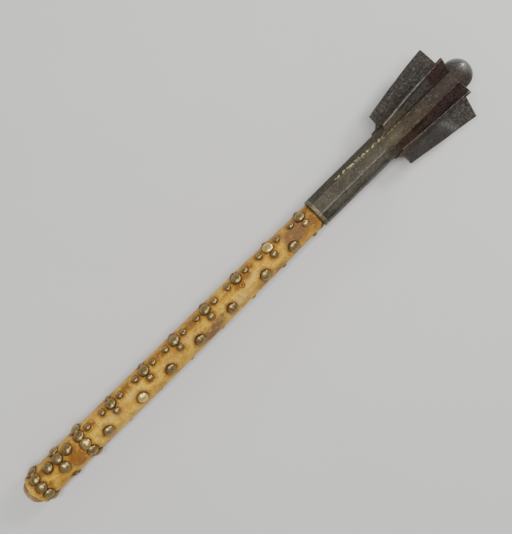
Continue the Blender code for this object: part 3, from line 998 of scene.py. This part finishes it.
def flangeOutline(index):
    # from the front of the root round the free edges to the toe, as x and radius
    sizes = flangeSizes
    rearX = sizes["rear"] + sizes["rearShifts"][index]
    frontX = sizes["front"] + sizes["frontShifts"][index]
    rootFront = (sizes["rootEnd"], sizes["root"])
    front, rear = (frontX, sizes["frontRadius"]), (rearX, sizes["rearRadius"])
    scoop = []
    for k in range(9):
        turn = math.pi / 2 * k / 8
        reach = (rearX - sizes["toe"]) * (1 - math.cos(turn))
        drop = (sizes["scoopRadius"] - sizes["toeRadius"]) * math.sin(turn)
        scoop.append((rearX - reach, sizes["scoopRadius"] - drop))
    outline = [rootFront] + roundedCorner(rootFront, front, rear, 0.0013)
    first, last = Vector(outline[-1]), Vector(rear)
    for k in range(1, 24):  # the long outer edge bows a little and isn't cut quite straight
        share = k / 24
        point = first.lerp(last, share)
        bow = sizes["bows"][index] * math.sin(math.pi * share)
        cut = sizes["cut"] * noise.noise(Vector((share * 9, index * 3.1, 0.5)))
        outline.append((point.x, point.y + bow + cut))
    outline += roundedCorner(outline[-1], rear, scoop[0], 0.0009)
    outline += roundedCorner(rear, scoop[0], scoop[1], 0.0004, 2)
    outline += scoop[1:] + [(sizes["toe"], sizes["root"])]
    return [tuple(point) for point in outline]


def edgeDistance(x, radius, outline):
    # distance to the free edges, which run from the front of the root round to the toe
    nearest = np.full(x.shape, 1.0)
    for (ax, ar), (bx, br) in zip(outline, outline[1:]):
        dx, dr = bx - ax, br - ar
        lengthSquared = dx * dx + dr * dr
        if lengthSquared < 1e-14:
            continue
        share = np.clip(((x - ax) * dx + (radius - ar) * dr) / lengthSquared, 0.0, 1.0)
        nearest = np.minimum(nearest, np.hypot(x - ax - share * dx, radius - ar - share * dr))
    return nearest


def flangeBlank(index, outline):
    # the flat plate and the brazing along its root, upright and made into one even mesh
    sizes = flangeSizes
    half = sizes["thickness"] / 2
    bm = bmesh.new()
    low = [bm.verts.new((x, -half, r)) for x, r in outline]
    high = [bm.verts.new((x, half, r)) for x, r in outline]
    bm.faces.new(low)
    bm.faces.new(reversed(high))
    for k in range(len(outline)):
        after = (k + 1) % len(outline)
        bm.faces.new((low[k], high[k], high[after], low[after]))
    for side in (-1, 1):
        rows = []
        for x in np.linspace(sizes["toe"] + 0.0012, sizes["rootEnd"] - 0.0008, sizes["filletRows"]):
            uneven = noise.noise(Vector((x * 160, side * 4.0, index * 2.7)))
            swell = sizes["fillet"] * (0.75 + 0.5 * uneven)
            foot = half + swell
            core = math.sqrt(headSizes["coreRadius"] ** 2 - foot**2)
            profile = [
                (0.0002, 0.0150),
                (foot, core - 0.0006),
                (foot + 0.0001, core + 0.00005),
                (half + 0.35 * swell, core + 0.38 * swell),
                (half, core + 1.15 * swell),
                (0.0002, core + 1.15 * swell),
            ]
            rows.append([bm.verts.new((x, side * y, z)) for y, z in profile])
        for before, after in zip(rows, rows[1:]):
            for k in range(6):
                second = (k + 1) % 6
                bm.faces.new((before[k], before[second], after[second], after[k]))
        bm.faces.new(rows[0])
        bm.faces.new(reversed(rows[-1]))
    bmesh.ops.recalc_face_normals(bm, faces=bm.faces)
    rawMesh = bpy.data.meshes.new("flangeBlank")
    bm.to_mesh(rawMesh)
    bm.free()
    blank = addObject("flangeBlank", rawMesh)
    remesh = blank.modifiers.new("evenFaces", "REMESH")
    remesh.mode = "VOXEL"
    remesh.voxel_size = sizes["voxel"]
    return takeMesh(blank, f"flange{index + 1}")


def makeFlange(index, material):
    sizes = flangeSizes
    half, seed = sizes["thickness"] / 2, 7.0 * index
    outline = flangeOutline(index)
    mesh = flangeBlank(index, outline)
    points, normals = readRows(mesh), readRows(mesh, "normal")
    x, y, r = points.T
    edge = edgeDistance(x, r, outline)
    nearRoot = 1 - rise(r, 0.0175, 0.0025)
    dents = relief(points, sizes["dents"], seed)
    dents = dents + 0.00025 * nearRoot * noiseOn(points, 300.0, seed + 2)
    dents = dents - 0.00028 * hill(edge, 0.0007) * rise((0.4 - np.abs(y) / half) * -4)
    nicks = 0.00030 * rise(noiseOn(points, 210.0, seed + 5) * 2.2 - 0.9) * hill(edge, 0.0009)
    shaped = points + normals * (dents - nicks)[:, None]
    lean = sizes["lean"] * np.sin((x - sizes["toe"]) * 30 + index)  # each plate waves a little
    shaped[:, 1] += lean * rise(r, 0.018, 0.02)
    turn = np.array(Matrix.Rotation(-math.radians(sizes["firstAngle"] + 60 * index), 3, "X"))
    movePoints(mesh, laidPoints(shaped @ turn.T))
    mesh.shade_smooth()

    arris = rise(np.abs(y) / half, 0.72, 0.2)  # the two arrises of the rim
    wear = 0.7 * hill(edge, 0.00046) * arris * (r > 0.0178)
    alongRoot = rise(x, 0.500, 0.006) * (1 - rise(x, 0.540, 0.030))
    braze = 0.5 * nearRoot * (0.12 + 0.88 * alongRoot)
    soot = 0.35 * rise(0.0225 - r, 0.0, 0.004) * (1 - nearRoot * alongRoot)
    polish, plain = 0 * wear, 0 * wear
    spill = 1 - rise(x, 0.520, 0.035)
    if index == 0:  # its inner face is lightened with painted light, and darkened in front, along the edge and in one spot
        inner = y < 0
        patch = rise(x, 0.568, 0.006) * (1 - rise(x, 0.600, 0.004)) * rise(r, 0.019, 0.003)
        spot = hill(x - 0.562 - 0.25 * (r - 0.022), 0.0013) * hill(r - 0.022, 0.003)
        line = hill(edge - 0.0034, 0.0012) * rise(x, 0.515, 0.02)
        dark = most(patch, spot, line)
        soot = np.maximum(soot, 1.1 * inner * dark)
        # painted light: the rest of the inner face is lightened in the worn colour
        wear = np.maximum(wear, 0.44 * inner * (1 - dark) * rise(r, 0.0185, 0.002))
        braze = np.maximum(braze, 0.6 * inner * spill)
    if index == 5:  # its inner face is scaly all over, and its front corner is rubbed bright
        inner = y > 0
        uneven = rise(0.75 + 1.6 * noiseOn(points, 120.0, 41.0, 0.5))
        soot = np.maximum(soot, 1.2 * inner * uneven)
        braze = np.maximum(braze, 0.42 * inner * spill)
        corner = hill(x - outline[2][0], 0.0025) * hill(r - outline[2][1], 0.0022)
        wear = np.maximum(wear, 0.8 * corner)
    if index == 4:  # its rear is smoother, up to a brighter band across it
        fromBand = x - 0.556 - 0.45 * (r - 0.026)
        plain = 0.74 * (1 - rise(fromBand, -0.001, 0.003)) * (y > 0)
        polish = 0.20 * hill(fromBand - 0.003, 0.005) * rise(r, 0.020, 0.004)
    marks = {"wear": wear, "braze": braze, "soot": soot, "polish": polish, "smooth": plain}
    nodes = [f"flange_{index + 1}"]
    keepPiece(mesh, f"flange{index + 1}", material, nodes, marks)


flangeIron = ironMaterial("flangeIron", flangeLook)
for flangeIndex in range(6):
    makeFlange(flangeIndex, flangeIron)

brassLook = {
    "brass": ((0.200, 0.120, 0.036), (0.275, 0.184, 0.064)),
    # patches of scale, low and high, the share of their colour, and the colour
    "green": (260.0, 0.48, 0.66, 0.7, (0.198, 0.176, 0.060)),
    "brown": (340.0, 0.5, 0.68, 0.7, (0.180, 0.101, 0.058)),
    "rubbed": (420.0, 0.35, 0.65, 0.55, (0.50, 0.39, 0.18)),
    "bright": (300.0, 0.15, 0.5, 1.0, (0.78, 0.58, 0.19)),
    "grime": (380.0, 0.2, 0.5, 1.0, (0.040, 0.026, 0.014)),
    "dint": (0.11, 0.045, 0.030),
    "dintRadii": (0.0020, 0.0012),
    "gloss": (500.0, 0.3, 0.7),
    "roughness": (0.21, 0.40),
    "pits": (650.0, 0.3, 0.75, 0.65),
    "bump": (0.00014, 0.6),
    "metallic": 0.8,
}


def brassMaterial():
    look = brassLook
    material, tree, shader, place = newMaterial("darkenedBrass")
    crown = addMark(tree, "crown")  # 1 at the top of a dome, 0 at its rim
    low = addMap(tree, crown, 0.42, 0.05)
    polish = addMark(tree, "polish")
    colour = addBlend(tree, addMark(tree, "tint"), *look["brass"])
    masks = {"green": 1.0, "brown": 1.0, "rubbed": crown, "bright": polish, "grime": low}
    for name, where in masks.items():
        *patch, share, tint = look[name]
        masks[name] = addTimes(tree, where, addPatches(tree, place, *patch))
        colour = addTint(tree, colour, masks[name], share, tint)
    dint = addMap(tree, addReach(tree, place, dintPoint), *look["dintRadii"])
    colour = addTint(tree, colour, dint, 0.8, look["dint"])
    rough = addMap(tree, addPatches(tree, place, *look["gloss"]), 0.0, 1.0, *look["roughness"])
    rough = addShares(tree, rough, (masks["grime"], 0.3))
    pits = addPatches(tree, place, *look["pits"])
    dressShader(tree, shader, colour, rough, pits, look["bump"])
    shader.inputs["Metallic"].default_value = look["metallic"]
    return material


tackInputs = {
    "Radius": "Float",
    "Height": "Float",
    "Sink": "Float",
    "Sides": "Int",
    "Rings": "Int",
    "Dents": "Float",
    "Seed": "Int",
}
tackShapes = {  # in the order of the inputs
    "bigTacks": (tackSizes["bigRadius"], 0.0037, 0.0008, 28, 18, 0.0009, 3),
    "smallTacks": (0.0036, 0.0026, 0.0007, 22, 14, 0.0006, 5),
}


def tackTree(material):
    # a dome at each point, turned to its "up", with a slight random size, turn, tint and dents
    tree = bpy.data.node_groups.new("domedTacks", "GeometryNodeTree")
    sockets = {}
    for label, kind in {"Places": "Geometry", **tackInputs}.items():
        kind = f"NodeSocket{kind}"
        socket = tree.interface.new_socket(label, in_out="INPUT", socket_type=kind)
        sockets[label] = socket.identifier
    tree.interface.new_socket("Tacks", in_out="OUTPUT", socket_type="NodeSocketGeometry")
    ask, result = addNode(tree, "NodeGroupInput").outputs, addNode(tree, "NodeGroupOutput")

    def addStep(kind, values, **options):
        return addNode(tree, kind, values, **options).outputs[0]

    def addLayer(geometry, name, value, domain):
        values = {"Geometry": geometry, "Name": name, "Value": value}
        kind = "GeometryNodeStoreNamedAttribute"
        return addStep(kind, values, data_type="FLOAT", domain=domain)

    def addRandom(shift, low, high, kind="FLOAT_VECTOR"):
        first = 0 if kind == "FLOAT_VECTOR" else 2  # the sockets of each kind stand in pairs
        values = {first: low, first + 1: high, "Seed": addMath(tree, "ADD", ask["Seed"], shift)}
        made = addNode(tree, "FunctionNodeRandomValue", values, data_type=kind)
        return made.outputs[first // 2]

    values = {"Segments": ask["Sides"], "Rings": ask["Rings"], "Radius": 1.0}
    ball = addStep("GeometryNodeMeshUVSphere", values)
    position = addStep("GeometryNodeInputPosition", {})
    along, across, up = addNode(tree, "ShaderNodeSeparateXYZ", {0: position}).outputs
    above = addTimes(tree, addMath(tree, "MAXIMUM", up, 0.0), ask["Height"])
    below = addTimes(tree, addMath(tree, "MINIMUM", up, 0.0), ask["Sink"])
    values = {
        0: addTimes(tree, along, ask["Radius"]),
        1: addTimes(tree, across, ask["Radius"]),
        2: addMath(tree, "ADD", above, below),
    }
    shape = addStep("ShaderNodeCombineXYZ", values)
    crowned = addLayer(ball, "crown", up, "POINT")
    dome = addStep("GeometryNodeSetPosition", {"Geometry": crowned, "Position": shape})

    outward = addStep("GeometryNodeInputNamedAttribute", {"Name": "up"}, data_type="FLOAT_VECTOR")
    facing = addStep("FunctionNodeAlignRotationToVector", {"Vector": outward}, axis="Z")
    spin = addRandom(0.0, (-0.06, -0.06, -3.1), (0.06, 0.06, 3.1))
    facing = addStep("FunctionNodeRotateRotation", {0: facing, 1: spin}, rotation_space="LOCAL")
    size = addRandom(7.0, (0.95, 0.95, 0.92), (1.03, 1.03, 1.04))
    values = {"Points": ask["Places"], "Instance": dome, "Rotation": facing, "Scale": size}
    placed = addStep("GeometryNodeInstanceOnPoints", values)
    tinted = addLayer(placed, "tint", addRandom(13.0, 0.0, 1.0, "FLOAT"), "INSTANCE")
    real = addStep("GeometryNodeRealizeInstances", {"Geometry": tinted})

    dent = addStep("ShaderNodeTexNoise", {"Scale": 210.0, "Detail": 2.0})
    dent = addTimes(tree, addMath(tree, "SUBTRACT", dent, 0.5), ask["Dents"])
    values = {0: addStep("GeometryNodeInputNormal", {}), "Scale": dent}
    push = addStep("ShaderNodeVectorMath", values, operation="SCALE")
    dented = addStep("GeometryNodeSetPosition", {"Geometry": real, "Offset": push})
    smoothed = addStep("GeometryNodeSetShadeSmooth", {"Geometry": dented})
    dressed = addStep("GeometryNodeSetMaterial", {"Geometry": smoothed, "Material": material})
    tree.links.new(dressed, result.inputs[0])
    return tree, sockets


brass = brassMaterial()
domedTacks, tackSockets = tackTree(brass)


def makeTacks(name, places, nodes):
    mesh = bpy.data.meshes.new(f"{name}Places")
    points, ups = [], []
    for x, angle, _ in places:
        points.append(tuple(onCover(x, angle, -tackSizes["sink"])))
        ups.extend(layDown.to_3x3() @ aroundPoint(0.0, 1.0, angle))
    mesh.from_pydata(points, [], [])
    mesh.attributes.new("up", "FLOAT_VECTOR", "POINT").data.foreach_set("vector", ups)
    polish = mesh.attributes.new("polish", "FLOAT", "POINT")
    polish.data.foreach_set("value", [place[2] for place in places])
    holder = addObject(f"{name}Places", mesh)
    modifier = holder.modifiers.new("domedTacks", "NODES")
    modifier.node_group = domedTacks
    for label, value in zip(tackInputs, tackShapes[name]):
        modifier[tackSockets[label]] = value
    finished = takeMesh(holder, name)
    rows = readRows(finished)
    rows[:, 2] = np.maximum(rows[:, 2], 0.0)  # the butt rests on one of them
    movePoints(finished, rows)
    keepPiece(finished, name, brass, nodes)


bigNodes = ["tack_ring_butt", "tack_ring_grip", "cross_tacks_front", "cross_tacks_back"]
bigNodes += ["cross_arm_butt", "cross_arm_grip"]
for nodeKind in ("rosette_front", "rosette_back", "single_front", "single_back"):
    bigNodes += [f"{nodeKind}_{k}" for k in range(1, 8)]
smallNodes = ["cross_side_tack"] + [f"small_front_{k}" for k in range(1, 15)]
makeTacks("bigTacks", bigTacks, bigNodes)
makeTacks("smallTacks", smallTacks, smallNodes)

studio = {
    "floorReach": 40.0,
    "floorDrop": 0.0001,
    "floorPatches": (3.0, 0.2, 0.8),
    "floorColors": ((0.60, 0.59, 0.57), (0.63, 0.62, 0.60)),
    "floorRoughness": 0.85,
    "skyColor": (0.95, 0.97, 1.0, 1.0),
    "skyStrength": 0.35,
    "target": (0.0, 0.0, 0.02),
    # name, kind, place, size of an area lamp or spread of a sun, power
    "lamps": (
        ("keyLight", "AREA", (1.20, -0.05, 1.05), 0.32, 10.0),
        ("frontLight", "AREA", (-0.22, 0.20, 1.60), 0.20, 7.0),
        ("topLight", "SUN", (0.05, -0.14, 1.75), math.radians(29), 1.84),
        ("tipLight", "AREA", (1.50, 0.28, 0.36), 0.12, 7.0),
    ),
}


def makeFloor():
    mesh = bpy.data.meshes.new("floor")
    reach = studio["floorReach"]
    sides = ((-reach, -reach), (reach, -reach), (reach, reach), (-reach, reach))
    mesh.from_pydata([(x, y, -studio["floorDrop"]) for x, y in sides], [], [(0, 1, 2, 3)])
    material, tree, shader, place = newMaterial("paleFloor")
    shade = addPatches(tree, place, *studio["floorPatches"])
    colour = addBlend(tree, shade, *studio["floorColors"])
    tree.links.new(colour, shader.inputs["Base Color"])
    shader.inputs["Roughness"].default_value = studio["floorRoughness"]
    mesh.materials.append(material)
    floor = addObject("floor", mesh)
    floor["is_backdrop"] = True


def makeLights():
    world = bpy.data.worlds.new("studio")
    bpy.context.scene.world = world
    world.use_nodes = True
    back = world.node_tree.nodes["Background"]
    back.inputs["Color"].default_value = studio["skyColor"]
    back.inputs["Strength"].default_value = studio["skyStrength"]
    for name, kind, place, size, power in studio["lamps"]:
        lamp = addObject(name, bpy.data.lights.new(name, kind))
        setattr(lamp.data, "size" if kind == "AREA" else "angle", size)
        lamp.data.energy = power
        lamp.location = place
        aim = Vector(studio["target"]) - Vector(place)
        lamp.rotation_euler = aim.to_track_quat("-Z", "Y").to_euler()


makeFloor()
makeLights()
print("stage: floor and lights")

bpy.context.view_layer.update()


def plainList(value):
    return [plainList(part) for part in value] if hasattr(value, "__len__") else float(value)


{"cad": plainList(cadBounds), "visual": plainList(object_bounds())}
